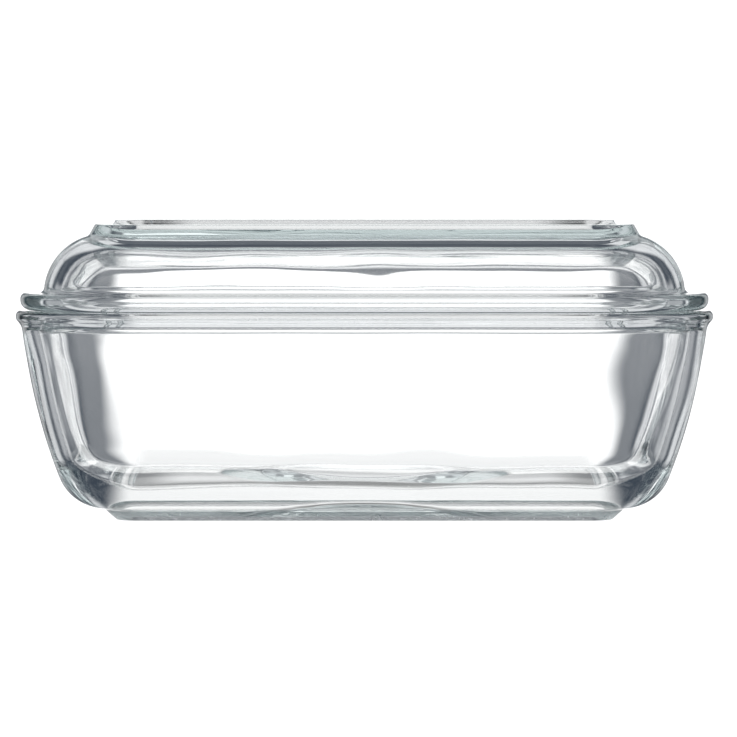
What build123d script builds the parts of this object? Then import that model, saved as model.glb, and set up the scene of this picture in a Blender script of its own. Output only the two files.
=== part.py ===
"""Covered loaf dish in pressed glass: a deep rectangular dish and a lift-off lid.

Each piece is one wall section carried round a rounded-rectangle plan. A section is drawn in (u, z),
where u is measured outward from the upright axis of a plan corner, so that one section serves the
long sides, the ends and the corners. A quarter is built and mirrored twice.

Millimetres and degrees. Origin at the middle of the foot, on the table; +X along the dish, +Z up.
"""

from build123d import *

import os
from math import cos, radians, sin, sqrt, tan

# ---- plan, round the outside of the dish's rim
length = 170.0
width = 104.0
plan_radius = 30.0

# ---- dish, outside
rim_height = 51.2  # top of the rim, where the lid sits
bead_proud = 1.1  # the rim's bead stands this far beyond the wall
bead_depth = 2.2  # top of the rim down to where the bead turns back in
bead_flank = 48.0  # underside of the bead, from level
bead_edge_radius = 1.3
bead_blend_radius = 4.0
wall_draft = 4.4  # from upright, at the rim
wall_bow_radius = 142.0
heel_draft = 21.3  # from upright, where the wall turns in to the heel
heel_radius = 12.2
foot_height = 2.8  # floor's underside above the table
foot_inset = plan_radius * 49 / 60  # outside of the foot's flat in from the rim's outside
foot_flat = 2.6  # width of the foot's flat
foot_flank = 42.0  # outer side of the foot, from level
foot_inner_flank = 66.0
foot_edge_radius = 0.9
foot_blend_radius = 2.5

# ---- dish, inside
wall_thickness = 3.7  # at the rim
floor_thickness = 3.0
inner_draft = 4.9  # from upright, at the rim
inner_bow_radius = 139.4
inner_heel_radius = plan_radius - 14.5
mouth_edge_radius = 1.0

# ---- push-up in the middle of the floor, running into the heels of the long sides
push_up_diameter = 71.0
push_up_level = 40.0  # diameter of its level top
push_up_height = 2.6
push_up_root = 0.3  # its flank runs on this far into the floor
hollow_diameter = 44.0  # the shallow hollow under it
hollow_height = 1.6

# ---- fit of the lid on the dish
seat_gap = 0.15  # flange above the rim
skirt_gap = 0.9  # skirt inside the mouth, all round

# ---- lid
lid_rise = 21.0  # top of the ring above the rim
flange_inset = 1.1  # edge of the flange in from the rim's outside
flange_thickness = 4.15
flange_top_radius = 1.4
flange_bottom_radius = 2.3
skirt_depth = 2.4  # below the flange
skirt_draft = 8.0
skirt_edge_radius = 1.2
skirt_blend_radius = 0.8
dome_inset = 6.8  # foot of the dome in from the rim's outside
dome_draft = 2.0  # from upright, at the foot of the dome
dome_radius = 15.0
dome_blend_radius = 1.4
lid_thickness = 3.8
inner_dome_radius = 11.2
ring_inset = 19.35  # outside of the ring's top in from the rim's outside
ring_top_width = 2.9
ring_flank = 61.0  # sides of the ring, from level
ring_edge_radius = 0.7
ring_blend_radius = 1.2
panel_recess = 2.3  # panel inside the ring, below the ring's top

# ---- what follows from those
core_x = length / 2 - plan_radius
core_y = width / 2 - plan_radius
floor_z = foot_height + floor_thickness
seat_z = rim_height + seat_gap
flange_z = seat_z + flange_thickness
lid_top = rim_height + lid_rise
panel_z = lid_top - panel_recess
ceiling_z = panel_z - lid_thickness


def heading(angle):
    """The unit vector at an angle above +u."""
    return Vector(cos(radians(angle)), sin(radians(angle)))


def onto_circle(start, angle, centre, radius):
    """Where a line from a point, at an angle above +u, first meets a circle."""
    offset = start - centre
    along = offset.dot(heading(angle))
    root = sqrt(along**2 - offset.dot(offset) + radius**2)
    travel = min(t for t in (-along - root, root - along) if t > 0)
    return start + heading(angle) * travel


def dish_section(plane):
    """The dish's floor, foot, wall and bead, from the corner axis outward."""
    wall_top = Vector(plan_radius - bead_proud, rim_height)
    bow_centre = wall_top - heading(-wall_draft) * wall_bow_radius
    heel_top = bow_centre + heading(-heel_draft) * wall_bow_radius
    heel_centre = heel_top - heading(-heel_draft) * heel_radius
    foot_edge = Vector(plan_radius - foot_inset, 0)
    heel_foot = onto_circle(foot_edge, foot_flank, heel_centre, heel_radius)
    inner_edge = foot_edge - Vector(foot_flat, 0)
    under = inner_edge + Vector(-foot_height / tan(radians(foot_inner_flank)), foot_height)
    nose = Vector(plan_radius, rim_height - bead_depth)
    tuck = onto_circle(nose, 180 + bead_flank, bow_centre, wall_bow_radius)

    mouth = wall_top - Vector(wall_thickness, 0)
    inner_centre = mouth - heading(-inner_draft) * inner_bow_radius
    bend_drop = inner_centre.Y - floor_z - inner_heel_radius
    bend_reach = inner_bow_radius - inner_heel_radius
    bend = Vector(inner_centre.X + sqrt(bend_reach**2 - bend_drop**2), floor_z + inner_heel_radius)
    bend_top = inner_centre + (bend - inner_centre) * (inner_bow_radius / bend_reach)
    bend_foot = Vector(bend.X, floor_z)

    with BuildSketch(plane) as section:
        with BuildLine():
            Polyline((0, floor_z), (0, foot_height), under, inner_edge, foot_edge, heel_foot)
            RadiusArc(heel_foot, heel_top, -heel_radius)
            RadiusArc(heel_top, tuck, -wall_bow_radius)
            Polyline(tuck, nose, (plan_radius, rim_height), mouth)
            RadiusArc(mouth, bend_top, inner_bow_radius)
            RadiusArc(bend_top, bend_foot, inner_heel_radius)
            Line(bend_foot, (0, floor_z))
        make_face()
        for corner, radius in (
            (under, foot_edge_radius),
            (inner_edge, foot_edge_radius),
            (foot_edge, foot_edge_radius),
            (heel_foot, foot_blend_radius),
            (tuck, bead_blend_radius),
            (nose, bead_edge_radius),
            ((plan_radius, rim_height), bead_edge_radius),
            (mouth, mouth_edge_radius),
        ):
            fillet(section.vertices().sort_by_distance(corner)[0], radius=radius)
    return section.sketch


def lid_section(plane):
    """The lid's panel, ring, dome, flange and skirt, from the corner axis outward."""
    dome_foot = Vector(plan_radius - dome_inset, flange_z)
    dome_centre = dome_foot - heading(dome_draft) * dome_radius
    ring_edge = Vector(plan_radius - ring_inset, lid_top)
    ring_foot = onto_circle(ring_edge, -ring_flank, dome_centre, dome_radius)
    ring_inner = ring_edge - Vector(ring_top_width, 0)
    panel_edge = ring_inner - Vector(panel_recess / tan(radians(ring_flank)), panel_recess)
    flange_top = Vector(plan_radius - flange_inset, flange_z)
    flange_under = Vector(plan_radius - flange_inset, seat_z)
    skirt_top = Vector(plan_radius - bead_proud - wall_thickness - skirt_gap, seat_z)
    skirt_foot = skirt_top - Vector(skirt_depth * tan(radians(skirt_draft)), skirt_depth)
    inner_u = dome_centre.X + inner_dome_radius
    skirt_inner = Vector(inner_u, seat_z - skirt_depth)
    bend = Vector(inner_u, ceiling_z - inner_dome_radius)
    bend_top = Vector(inner_u - inner_dome_radius, ceiling_z)

    with BuildSketch(plane) as section:
        with BuildLine():
            Polyline((0, ceiling_z), (0, panel_z), panel_edge, ring_inner, ring_edge, ring_foot)
            RadiusArc(ring_foot, dome_foot, dome_radius)
            Polyline(dome_foot, flange_top, flange_under, skirt_top, skirt_foot, skirt_inner, bend)
            RadiusArc(bend, bend_top, -inner_dome_radius)
            Line(bend_top, (0, ceiling_z))
        make_face()
        for corner, radius in (
            (panel_edge, ring_blend_radius),
            (ring_inner, ring_edge_radius),
            (ring_edge, ring_edge_radius),
            (ring_foot, ring_blend_radius),
            (dome_foot, dome_blend_radius),
            (flange_top, flange_top_radius),
            (flange_under, flange_bottom_radius),
            (skirt_top, skirt_blend_radius),
            (skirt_foot, skirt_edge_radius),
            (skirt_inner, skirt_edge_radius),
        ):
            fillet(section.vertices().sort_by_distance(corner)[0], radius=radius)
    return section.sketch


def carry_round(section, low, high):
    """Carry a section round one quarter of the plan, fill the middle, and mirror twice."""
    end = section(Plane((core_x, core_y, 0), x_dir=(1, 0, 0), z_dir=(0, -1, 0)))
    side = section(Plane((0, core_y, 0), x_dir=(0, 1, 0), z_dir=(1, 0, 0)))
    revolve(end, axis=Axis((core_x, core_y, 0), (0, 0, 1)), revolution_arc=90)
    extrude(end, amount=core_y)
    extrude(side, amount=core_x)
    with Locations((0, 0, low)):
        Box(core_x, core_y, high - low, align=Align.MIN)
    mirror(about=Plane.XZ)
    mirror(about=Plane.YZ)


def push_up():
    """The level top and rounded flank of the push-up, standing on the floor."""
    run = (push_up_diameter - push_up_level) / 2
    radius = (run**2 + push_up_height**2) / 2 / push_up_height
    crown = Vector(push_up_level / 2, floor_z + push_up_height)
    root_z = floor_z - push_up_root
    root = Vector(crown.X + sqrt(radius**2 - (radius - crown.Y + root_z) ** 2), root_z)
    with BuildSketch(Plane.XZ) as swelling:
        with BuildLine():
            RadiusArc(crown, root, radius)
            Polyline(root, (0, root_z), (0, crown.Y), crown)
        make_face()
    revolve(swelling.sketch, axis=Axis.Z)


def hollow():
    """The shallow hollow under the push-up, level at its middle and at its edge."""
    reach = hollow_diameter / 4
    radius = (reach**2 + (hollow_height / 2) ** 2) / hollow_height
    with BuildSketch(Plane.XZ) as swelling:
        with BuildLine():
            RadiusArc((0, foot_height + hollow_height), (reach, foot_height + hollow_height / 2), radius)
            RadiusArc((reach, foot_height + hollow_height / 2), (2 * reach, foot_height), -radius)
            Polyline((2 * reach, foot_height), (0, foot_height), (0, foot_height + hollow_height))
        make_face()
    revolve(swelling.sketch, axis=Axis.Z, mode=Mode.SUBTRACT)


with BuildPart() as dish:
    carry_round(dish_section, foot_height, floor_z)
    push_up()
    hollow()

with BuildPart() as lid:
    carry_round(lid_section, ceiling_z, panel_z)

os.makedirs("parts", exist_ok=True)
dish.part.label = "dish"
export_step(dish.part, "parts/dish.step")
lid.part.label = "lid"
export_step(lid.part, "parts/lid.step")
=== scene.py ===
"""Covered loaf dish in clear pressed glass, standing on a pale floor in a bright studio.

The dish and the lid are each one closed skin: a wall section carried round a rounded-rectangle
plan, with a flat grid closing the middle. A section is a list of points (u, z) in millimetres,
where u is measured outward from the upright axis of a plan corner, with the bulge of the run to
the next point.
"""

from math import atan, ceil, cos, hypot, pi, radians, sin

import bpy
from bpy.props import FloatProperty, FloatVectorProperty, PointerProperty
from bpy.types import Operator, Panel, PropertyGroup
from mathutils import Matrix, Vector, noise


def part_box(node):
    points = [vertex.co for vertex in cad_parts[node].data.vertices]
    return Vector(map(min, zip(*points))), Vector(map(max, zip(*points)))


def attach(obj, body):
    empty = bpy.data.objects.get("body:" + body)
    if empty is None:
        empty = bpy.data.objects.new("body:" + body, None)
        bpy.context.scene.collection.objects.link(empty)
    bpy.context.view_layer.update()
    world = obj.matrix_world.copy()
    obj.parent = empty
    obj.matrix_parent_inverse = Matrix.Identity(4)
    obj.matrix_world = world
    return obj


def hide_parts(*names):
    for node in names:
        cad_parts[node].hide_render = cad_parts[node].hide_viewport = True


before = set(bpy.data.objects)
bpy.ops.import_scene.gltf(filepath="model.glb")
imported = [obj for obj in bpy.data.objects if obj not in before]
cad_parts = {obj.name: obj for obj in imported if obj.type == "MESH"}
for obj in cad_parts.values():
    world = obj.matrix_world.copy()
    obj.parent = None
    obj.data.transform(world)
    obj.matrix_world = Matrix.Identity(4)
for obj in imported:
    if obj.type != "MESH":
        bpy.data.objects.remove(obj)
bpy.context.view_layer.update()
DISH_LOW, DISH_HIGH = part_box("dish")
LID_LOW, LID_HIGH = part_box("lid")

bl_info = {
    "name": "Covered Loaf Dish",
    "version": (1, 0, 0),
    "blender": (4, 5, 0),
    "location": "View3D > Sidebar > Loaf Dish",
    "description": "A covered loaf dish in clear pressed glass, with its studio",
    "category": "Add Mesh",
}

MM = 0.001
CORNER_STEPS = 24  # faces round each plan corner
ARC_STEP = radians(9)  # widest turn between two points of a section's arc
FLANGE_INSET = 1.1  # edge of the lid's flange in from the rim's outside

# Heights and radii in the dish that its relief needs.
UNDERSIDE_Z = 2.8
FLOOR_Z = 5.8
WALL_TOP_Z = 48.5  # the bead and the mouth begin here, and stay true
PUSH_UP_HEIGHT = 2.6
PUSH_UP_LEVEL = 20  # radius of its level top
PUSH_UP_FLANK = 15.5  # width of its rounded flank
HOLLOW_HEIGHT = 1.6
HOLLOW_RADIUS = 22

# The slow waves that pressing leaves: how far apart they lie, and their height.
WAVE_SPAN = 19
DISH_WAVE = 0.4
LID_WAVE = 0.32
OUTER_WAVE_SPAN = 26
OUTER_WAVE = 0.12

# (u, z, bulge), up the outside from the floor's underside and down the inside to the floor.
DISH_SECTION = (
    (1.069, 2.800, -0.2962),
    (1.891, 2.266, 0),
    (2.662, 0.534, 0.2962),
    (3.484, 0.000, 0),
    (5.155, 0.000, 0.1853),
    (5.757, 0.231, 0),
    (7.901, 2.161, -0.1622),
    (9.349, 2.793, 0.2846),
    (19.619, 10.512, 0.0649),
    (28.418, 46.129, -0.1563),
    (29.420, 48.356, 0),
    (29.666, 48.629, 0.1853),
    (30.000, 49.499, 0),
    (30.000, 49.900, 0.4142),
    (28.700, 51.200, 0),
    (26.115, 51.200, 0.3875),
    (25.119, 50.292, -0.0631),
    (17.534, 16.070, -0.3166),
    (2.943, 5.800, 0),
)
# The same, down the inside of the lid from its ceiling, round the flange and up to the panel.
LID_SECTION = (
    (8.209, 66.100, -0.4142),
    (19.409, 54.900, 0),
    (19.409, 50.150, 0.4142),
    (20.609, 48.950, 0),
    (22.920, 48.950, 0.3739),
    (24.108, 49.983, 0),
    (24.203, 50.661, -0.3739),
    (24.995, 51.350, 0),
    (26.600, 51.350, 0.4142),
    (28.900, 53.650, 0),
    (28.900, 54.100, 0.4142),
    (27.500, 55.500, 0),
    (24.496, 55.500, -0.3802),
    (23.106, 56.736, 0.2967),
    (12.635, 69.309, -0.1936),
    (11.940, 69.873, 0),
    (10.850, 71.839, 0.2726),
    (10.238, 72.200, 0),
    (8.162, 72.200, 0.2726),
    (7.550, 71.839, 0),
    (6.818, 70.518, -0.2726),
    (5.768, 69.900, 0),
)


# ---- shader maths


class Wire:
    """A socket in a node tree, with the arithmetic that the glass and the studio use."""

    def __init__(self, tree, socket):
        self.tree = tree
        self.socket = socket

    def node(self, kind, settings=None, **inputs):
        """A node of a kind, with its settings made first and its sockets given values or wires."""
        made = self.tree.nodes.new(kind)
        for name, value in (settings or {}).items():
            setattr(made, name, value)
        for name, value in inputs.items():
            key = int(name[1:]) if name[1:].isdigit() else name.replace("_", " ")
            plug(self.tree, value, made.inputs[key])
        return made

    def read(self, kind, output, settings=None, **inputs):
        """One output of a new node."""
        return Wire(self.tree, self.node(kind, settings, **inputs).outputs[output])

    def maths(self, operation, *values):
        """The result of one Math node."""
        sockets = {f"i{i}": value for i, value in enumerate(values)}
        return self.read("ShaderNodeMath", 0, {"operation": operation}, **sockets)

    def size(self):
        """This value without its sign."""
        return self.maths("ABSOLUTE", self)

    def at_least(self, *others):
        """The largest of this value and the others."""
        largest = self
        for other in others:
            largest = self.maths("MAXIMUM", largest, other)
        return largest

    def split(self):
        """The X, Y and Z of this vector."""
        made = self.node("ShaderNodeSeparateXYZ", Vector=self)
        return [Wire(self.tree, socket) for socket in made.outputs]

    def __add__(self, other):
        return self.maths("ADD", self, other)

    def __sub__(self, other):
        return self.maths("SUBTRACT", self, other)

    def __rsub__(self, other):
        return self.maths("SUBTRACT", other, self)

    def __mul__(self, other):
        return self.maths("MULTIPLY", self, other)

    __radd__ = __add__
    __rmul__ = __mul__

    def ramp(self, low, high):
        """0 below low, 1 above high and a smooth rise between them; falls instead if low > high."""
        limits = {"From_Min": min(low, high), "From_Max": max(low, high)}
        rise = self.read(
            "ShaderNodeMapRange", 0, {"interpolation_type": "SMOOTHSTEP"}, Value=self, **limits
        )
        return 1 - rise if low > high else rise

    def texture(self, kind, output, **inputs):
        """One output of a texture node that reads this wire as its place."""
        return self.read(kind, output, Vector=self, **inputs)

    def blend(self, low, high):
        """The colour that goes from low to high as this value goes from 0 to 1."""
        return self.read("ShaderNodeMix", 2, {"data_type": "RGBA"}, i0=self, i6=low, i7=high)


def plug(tree, value, socket):
    """Links a wire to a socket, or sets the socket's own value."""
    if isinstance(value, Wire):
        tree.links.new(value.socket, socket)
    else:
        socket.default_value = value


def empty_tree(owner):
    """The owner's node tree, cleared, as a wire with no socket to build from."""
    owner.use_nodes = True
    owner.node_tree.nodes.clear()
    return Wire(owner.node_tree, None)


# ---- shapes


def run_points(start, end, bulge, step):
    """Points along one run of a section, from its start up to but not including its end."""
    (u0, z0), (u1, z1) = start, end
    chord = hypot(u1 - u0, z1 - z0)
    sweep = 4 * atan(bulge)
    length = chord if not bulge else chord * (sweep / 2) / sin(sweep / 2)
    count = max(ceil(length / step), ceil(abs(sweep) / ARC_STEP), 1)
    points = []
    for i in range(count):
        t = i / count
        if not bulge:
            points.append((u0 + (u1 - u0) * t, z0 + (z1 - z0) * t))
            continue
        # Walking an arc: the chord to the point at share t, turned from the first tangent.
        radius = chord / 2 / sin(sweep / 2)
        turned = sweep * t
        reach = 2 * radius * sin(turned / 2)
        along = ((u1 - u0) / chord, (z1 - z0) / chord)
        lean = (turned - sweep) / 2
        points.append(
            (
                u0 + reach * (along[0] * cos(lean) - along[1] * sin(lean)),
                z0 + reach * (along[0] * sin(lean) + along[1] * cos(lean)),
            )
        )
    return points


def section_points(section, step):
    """A whole section as points no further apart than step, from its first point to its last."""
    points = []
    for (u0, z0, bulge), (u1, z1, _) in zip(section, section[1:]):
        points += run_points((u0, z0), (u1, z1), bulge, step)
    points.append(section[-1][:2])
    return points


def plan_stations(core_x, core_y, step, corner_steps):
    """The middle grid's columns and rows, and each station's foot and way out, round the plan."""
    columns = ceil(2 * core_x / step)
    rows = ceil(2 * core_y / step)
    stations = []
    for side in range(4):
        out = (cos(side * pi / 2), sin(side * pi / 2))
        along = (-out[1], out[0])
        count, half = (rows, core_y) if side % 2 == 0 else (columns, core_x)
        away = core_x if side % 2 == 0 else core_y
        for i in range(count):
            slide = -half + 2 * half * i / count
            foot = (out[0] * away + along[0] * slide, out[1] * away + along[1] * slide)
            stations.append((foot, out))
        corner = (out[0] * away + along[0] * half, out[1] * away + along[1] * half)
        for i in range(corner_steps):
            angle = side * pi / 2 + pi / 2 * i / corner_steps
            stations.append((corner, (cos(angle), sin(angle))))
    return columns, rows, stations


def outward_normals(outline):
    """For each point of a section, the unit vector out of the glass, in (u, z)."""
    normals = []
    for i in range(len(outline)):
        (u0, z0), (u1, z1) = outline[max(i - 1, 0)], outline[min(i + 1, len(outline) - 1)]
        length = hypot(u1 - u0, z1 - z0)
        normals.append(((z1 - z0) / length, -(u1 - u0) / length))
    return normals


def middle_grid(first, ring_start, stations, columns, rows, core_x, core_y):
    """The faces of the grid that closes a ring: its own squares, and a strip out to the ring."""
    faces = []
    for row in range(rows):
        for column in range(columns):
            a = first + row * (columns + 1) + column
            faces.append((a, a + 1, a + columns + 2, a + columns + 1))
    around = len(stations)
    for i in range(around):
        j = (i + 1) % around
        inner = []
        for k in (j, i):
            (x, y), _ = stations[k]
            column = round((x + core_x) / (2 * core_x) * columns)
            row = round((y + core_y) / (2 * core_y) * rows)
            at = first + row * (columns + 1) + column
            if at not in inner:
                inner.append(at)
        faces.append((ring_start + i, ring_start + j, *inner))
    return faces


def glass_skin(name, section, low, high, plan_radius, step, relief):
    """A closed skin: the section carried round the plan, and a grid over each end of it.

    The relief tells how far the skin moves out of the glass, from a place and how far its way out
    of the glass points away from the middle of the plan.
    """
    core_x = (high[0] - low[0]) / 2 / MM - plan_radius
    core_y = (high[1] - low[1]) / 2 / MM - plan_radius
    columns, rows, stations = plan_stations(core_x, core_y, step, CORNER_STEPS)
    outline = section_points(section, step)
    verts = []
    for (u, z), (nu, nz) in zip(outline, outward_normals(outline)):
        for (x, y), (dx, dy) in stations:
            place = Vector((x + u * dx, y + u * dy, z))
            way = Vector((nu * dx, nu * dy, nz))
            verts.append(place + way * relief(place, nu))
    around = len(stations)
    faces = []
    for ring in range(len(outline) - 1):
        for i in range(around):
            j = (i + 1) % around
            a, b = ring * around, (ring + 1) * around
            faces.append((a + i, a + j, b + j, b + i))
    # The first ring's grid faces down and the last one's faces up.
    for ring, way in ((0, -1), (len(outline) - 1, 1)):
        first = len(verts)
        z = outline[ring][1]
        for row in range(rows + 1):
            for column in range(columns + 1):
                x = -core_x + 2 * core_x * column / columns
                y = -core_y + 2 * core_y * row / rows
                place = Vector((x, y, z))
                verts.append(place + Vector((0, 0, way * relief(place, 0))))
        grid = middle_grid(first, ring * around, stations, columns, rows, core_x, core_y)
        faces += [face[::-1] if way < 0 else face for face in grid]
    mesh = bpy.data.meshes.new(name)
    mesh.from_pydata([[c * MM for c in v] for v in verts], [], faces)
    mesh.shade_smooth()
    mesh.validate()
    made = bpy.data.objects.new(name, mesh)
    bpy.context.scene.collection.objects.link(made)
    return made


def ease(low, high, value):
    """0 at low, 1 at high, with a level start and finish; falls instead if low > high."""
    share = min(max((value - low) / (high - low), 0), 1)
    return share * share * (3 - 2 * share)


def hollow(place):
    """How far the hollow under the push-up goes up, level at its middle and its edge."""
    share = min(hypot(place.x, place.y) / HOLLOW_RADIUS, 1)
    return HOLLOW_HEIGHT * (1 + cos(pi * share)) / 2


def push_up(place):
    """How far the push-up's level top and rounded flank stand above the floor."""
    flank = max(hypot(place.x, place.y) - PUSH_UP_LEVEL, 0) / PUSH_UP_FLANK
    return PUSH_UP_HEIGHT * (1 - flank * flank)


def dish_relief(place, outward):
    """The dish's skin: the floor's push-up, and the slow waves in the walls."""
    z = place.z
    if z > WALL_TOP_Z:
        return 0
    if outward == 0 and abs(z - UNDERSIDE_Z) < 0.1:
        return -hollow(place)
    if outward <= 0 and z > FLOOR_Z - 0.2:
        waves = DISH_WAVE * noise.noise(place / WAVE_SPAN + Vector((3.1, 7.7, 1.9)))
        waves *= ease(48, 40, z) * ease(8, 16, z)
        return waves + max(FLOOR_Z + push_up(place) - z, 0)
    waves = OUTER_WAVE * (1 + noise.noise(place / OUTER_WAVE_SPAN))
    return -waves * ease(46, 38, z) * ease(5, 12, z)


def lid_relief(place, outward):
    """The lid's skin: slow waves inside the dome, fainter under the panel, and none outside."""
    z = place.z
    if outward > 0 or not 57 <= z < 66.3:
        return 0
    waves = LID_WAVE * noise.noise(place / WAVE_SPAN + Vector((5.3, 2.2, 8.1)))
    return waves * ease(57, 61, z) * (1 - 0.5 * ease(64, 66, z))


# ---- materials


def in_mm(length):
    """A length property's metres as millimetres, without the property's rounding error."""
    return round(length / MM, 4)


def clear_glass(name, settings):
    """Clear pressed glass: tinted in its depth, with mould ripple and a stippled, worn foot."""
    made = bpy.data.materials.new(name)
    tree = empty_tree(made)
    spot = tree.read("ShaderNodeTexCoord", "Object")
    height = spot.split()[2] * (1 / MM)
    grain = spot.texture("ShaderNodeTexNoise", "Fac", Scale=900, Detail=2)
    ripple = spot.texture("ShaderNodeTexNoise", "Fac", Scale=settings.ripple_scale, Detail=1.5)
    scuffs = spot.texture("ShaderNodeTexNoise", "Fac", Scale=260, Detail=5).ramp(0.62, 0.72)
    foot = height.ramp(2.5, 1.9)
    relief = ripple * in_mm(settings.ripple) + foot * grain * 0.12
    glass = tree.read(
        "ShaderNodeBsdfPrincipled",
        0,
        Base_Color=(1, 1, 1, 1),
        IOR=1.52,
        Transmission_Weight=1,
        Roughness=foot * (grain * 0.25 + 0.1) + scuffs * settings.scuffing,
        Normal=tree.read("ShaderNodeBump", 0, Strength=1.0, Distance=MM, Height=relief),
    )
    tint = tree.read(
        "ShaderNodeVolumeAbsorption", 0, Color=(*settings.tint, 1), Density=settings.tint_depth
    )
    tree.node("ShaderNodeOutputMaterial", Surface=glass, Volume=tint)
    return made


def wear_glass(piece, settings, slot):
    """Gives a piece its glass and names the record's material slot it follows."""
    piece.data.materials.append(clear_glass(slot, settings))


class DishSettings(PropertyGroup):
    """Sizes and colours of the dish and the lid."""

    plan_radius: FloatProperty(
        name="Plan radius",
        description="Corner radius of the plan over the rim",
        unit="LENGTH",
        default=0.030,
    )
    step: FloatProperty(
        name="Step", description="Size of the skin's faces", unit="LENGTH", default=0.0013
    )
    ripple: FloatProperty(
        name="Ripple", description="Height of the mould's ripple", unit="LENGTH", default=0.00002
    )
    ripple_scale: FloatProperty(name="Ripple scale", description="Ripples per metre", default=70)
    scuffing: FloatProperty(
        name="Scuffing",
        description="Roughness of the faint scuffs from use",
        subtype="FACTOR",
        default=0.03,
    )
    tint: FloatVectorProperty(
        name="Tint",
        description="Colour the glass takes in its depth",
        subtype="COLOR",
        default=(0.62, 0.72, 0.72),
    )
    tint_depth: FloatProperty(
        name="Tint depth", description="How fast the tint deepens, per metre", default=14
    )


class StudioSettings(PropertyGroup):
    """The studio round the dish."""

    lens: FloatProperty(
        name="Lens", description="Focal length of the camera", unit="CAMERA", default=296
    )
    distance: FloatProperty(
        name="Distance", description="Camera to the middle of the dish", unit="LENGTH", default=1.5
    )
    camera_height: FloatProperty(
        name="Camera height", description="Camera above the floor", unit="LENGTH", default=0.104
    )


class LOAFDISH_OT_dish(Operator):
    """Make the dish"""

    bl_idname = "loafdish.dish"
    bl_label = "Dish"

    def execute(self, context):
        settings = context.scene.loaf_dish
        piece = glass_skin(
            "dish_glass",
            DISH_SECTION,
            DISH_LOW,
            DISH_HIGH,
            in_mm(settings.plan_radius),
            in_mm(settings.step),
            dish_relief,
        )
        wear_glass(piece, settings, "dish_glass")
        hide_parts("dish")
        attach(piece, "dish")
        return {"FINISHED"}


class LOAFDISH_OT_lid(Operator):
    """Make the lid"""

    bl_idname = "loafdish.lid"
    bl_label = "Lid"

    def execute(self, context):
        settings = context.scene.loaf_dish
        piece = glass_skin(
            "lid_glass",
            LID_SECTION,
            LID_LOW,
            LID_HIGH,
            in_mm(settings.plan_radius) - FLANGE_INSET,
            in_mm(settings.step),
            lid_relief,
        )
        wear_glass(piece, settings, "lid_glass")
        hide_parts("lid")
        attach(piece, "lid")
        return {"FINISHED"}


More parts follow.
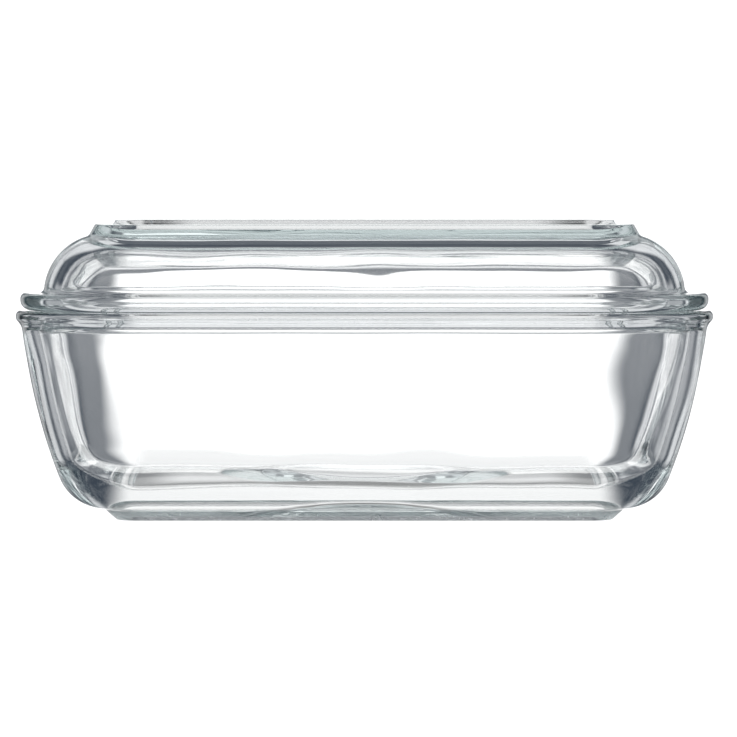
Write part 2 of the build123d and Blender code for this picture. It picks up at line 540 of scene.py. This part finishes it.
class LOAFDISH_OT_studio(Operator):
    """Set up the floor, the light and the camera"""

    bl_idname = "loafdish.studio"
    bl_label = "Studio"

    def execute(self, context):
        settings = context.scene.loaf_studio
        scene = context.scene
        scene.view_settings.view_transform = "Standard"
        # Light is led a long way round inside the rim, the flange and the ring.
        scene.cycles.max_bounces = 40
        scene.cycles.transmission_bounces = 40
        scene.cycles.glossy_bounces = 40
        self.floor()
        self.surroundings(scene)
        self.camera(scene, settings)
        return {"FINISHED"}

    def floor(self):
        """A pale floor; to the glass it is a lit table, with a painted shadow round the dish's
        foot, and the open studio beyond it.
        """
        mesh = bpy.data.meshes.new("floor")
        half = 6.0
        corners = [(-half, -half, 0), (half, -half, 0), (half, half, 0), (-half, half, 0)]
        mesh.from_pydata(corners, [], [(0, 1, 2, 3)])
        plane = bpy.data.objects.new("floor", mesh)
        bpy.context.scene.collection.objects.link(plane)
        pale = bpy.data.materials.new("pale_floor")
        tree = empty_tree(pale)
        x, y, _ = tree.read("ShaderNodeNewGeometry", "Position").split()
        x, y = x.size(), y.size()
        seen = tree.read("ShaderNodeLightPath", "Is Camera Ray")
        table = x.ramp(0.067, 0.057) * y.ramp(0.12, 0.085)
        # Painted shadow: the table's glow is darkened round the foot as a painted contact shadow,
        # painted paler under the middle of the dish, and bright outside it.
        past_x, past_y = (x - 0.055).at_least(0), (y - 0.022).at_least(0)
        reach = tree.maths("POWER", past_x * past_x + past_y * past_y, 0.5)
        middle = x.ramp(0.056, 0.044) * y.ramp(0.023, 0.011) * 0.6
        glow_with_painted_shadow = reach.ramp(0.0015, 0.0055) * 0.77 + middle + 0.11
        lit = tree.read(
            "ShaderNodeBsdfPrincipled",
            0,
            Base_Color=(0.15, 0.15, 0.15, 1),
            Roughness=0.8,
            Specular_IOR_Level=0.1,
            # The emission carries the painted shadow round the foot; camera rays see the table
            # evenly white.
            Emission_Color=glow_with_painted_shadow.at_least(seen).blend((0, 0, 0, 1), (1, 1, 1, 1)),
            Emission_Strength=1.1,
        )
        gone = tree.read("ShaderNodeBsdfTransparent", 0)
        floor = tree.read("ShaderNodeMixShader", 0, i0=table.at_least(seen), i1=gone, i2=lit)
        tree.node("ShaderNodeOutputMaterial", Surface=floor)
        mesh.materials.append(pale)

    def surroundings(self, scene):
        """White panels square to the dish's sides and ends, in a dim studio."""
        world = bpy.data.worlds.new("studio")
        scene.world = world
        tree = empty_tree(world)
        x, y, z = tree.read("ShaderNodeTexCoord", "Generated").split()
        # Both in degrees: above level, and round from square to a long side to square to an end.
        up = tree.maths("ARCSINE", z) * (180 / pi)
        off = tree.maths("ARCTAN2", x.size(), y.size()) * (180 / pi)
        panel = off.ramp(6.5, 3.6) * up.ramp(12, 10.5) * up.ramp(-22, -14)
        wings = off.ramp(12, 18) * off.ramp(36, 27) * up.ramp(22, 15) * up.ramp(-27, -12)
        near = off.ramp(15, 9) * up.ramp(26, 12)
        sides = off.ramp(37, 45) * up.ramp(14, 4) * up.ramp(-28, -18)
        ends = off.ramp(74, 82) * up.ramp(8, 0) * up.ramp(-28, -18)
        ceiling = up.ramp(14.5, 19) * up.ramp(48, 36) * off.ramp(34, 24)
        overhead = up.ramp(46, 58)
        fill = (wings * 0.85).at_least(
            near * 0.22, sides * 0.38, ceiling * 0.9, ends * 0.85, overhead * 0.08
        )
        dim = fill.blend((0.05, 0.064, 0.085, 1), (0.97, 0.98, 1, 1))
        light = panel.blend(dim, (1.5, 1.5, 1.5, 1))
        seen = tree.read("ShaderNodeLightPath", "Is Camera Ray")
        colour = seen.blend(light, (1.1, 1.1, 1.1, 1))
        back = tree.read("ShaderNodeBackground", 0, Color=colour, Strength=1.0)
        tree.node("ShaderNodeOutputWorld", Surface=back)

    def camera(self, scene, settings):
        """The camera stands square to the long side, a little above the lid."""
        data = bpy.data.cameras.new("camera")
        data.lens = settings.lens
        data.sensor_width = 36
        data.clip_end = 50
        made = bpy.data.objects.new("camera", data)
        scene.collection.objects.link(made)
        made.location = (0.001, -settings.distance, settings.camera_height)
        aim = Vector((0.001, 0, 0.0359))
        made.rotation_euler = (aim - made.location).to_track_quat("-Z", "Y").to_euler()
        scene.camera = made


class LOAFDISH_PT_panel(Panel):
    """The dish's sizes and its makers"""

    bl_idname = "LOAFDISH_PT_panel"
    bl_label = "Loaf Dish"
    bl_space_type = "VIEW_3D"
    bl_region_type = "UI"
    bl_category = "Loaf Dish"

    def draw(self, context):
        for settings in (context.scene.loaf_dish, context.scene.loaf_studio):
            for name in settings.__annotations__:
                self.layout.prop(settings, name)
        for maker in MAKERS:
            self.layout.operator(maker.bl_idname)


MAKERS = (LOAFDISH_OT_dish, LOAFDISH_OT_lid, LOAFDISH_OT_studio)
CLASSES = (DishSettings, StudioSettings, *MAKERS, LOAFDISH_PT_panel)


def register():
    for cls in CLASSES:
        bpy.utils.register_class(cls)
    bpy.types.Scene.loaf_dish = PointerProperty(type=DishSettings)
    bpy.types.Scene.loaf_studio = PointerProperty(type=StudioSettings)


def unregister():
    del bpy.types.Scene.loaf_studio
    del bpy.types.Scene.loaf_dish
    for cls in reversed(CLASSES):
        bpy.utils.unregister_class(cls)


def main():
    register()
    bpy.ops.loafdish.dish()
    bpy.ops.loafdish.lid()
    bpy.ops.loafdish.studio()


if __name__ == "__main__":
    main()
